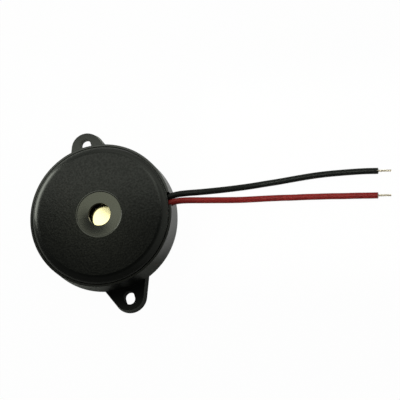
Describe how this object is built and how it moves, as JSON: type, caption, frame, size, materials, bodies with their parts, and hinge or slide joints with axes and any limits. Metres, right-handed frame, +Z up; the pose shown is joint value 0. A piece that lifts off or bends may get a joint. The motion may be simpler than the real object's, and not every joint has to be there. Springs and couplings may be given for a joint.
{
  "type": "piezo buzzer",
  "caption": "Round black piezo buzzer with a central sound hole, slotted mounting ears and red and black flying leads with stripped ends.",
  "frame": {"origin": "middle of the case's underside", "axes": "+Z up along the sound hole's axis, +Y along the line of the two ears, +X on the side where the leads leave"},
  "size_m": [0.0869, 0.0468, 0.0102],
  "materials": {
    "case": "moulded black ABS with a fine spark-eroded texture on the top face",
    "brass": "rolled bright",
    "ceramic": "fired ceramic with silver electrodes",
    "bond": "cured silicone",
    "board": "phenolic paper laminate",
    "chip": "moulded epoxy",
    "solder": "dull tin solder",
    "jumper": "thin insulated wire",
    "red_insulation": "soft PVC, satin",
    "black_insulation": "soft PVC, satin",
    "tinned_copper": "tinned strands"
  },
  "bodies": {
    "root": {"case_base": "case", "front_cover": "case", "diaphragm": "brass", "ceramic_element": "ceramic", "diaphragm_bond": "bond", "circuit_board": "board", "transistor": "chip", "bias_resistor": "chip", "drive_resistor": "chip", "feedback_resistor": "chip", "board_solder": "solder", "disc_solder": "solder", "drive_wire": "jumper", "feedback_wire": "jumper", "ground_wire": "black_insulation", "red_lead_tail": "red_insulation", "black_lead_tail": "black_insulation", "red_lead": "red_insulation", "black_lead": "black_insulation", "red_wire_end": "tinned_copper", "black_wire_end": "tinned_copper"}
  },
  "joints": []
}
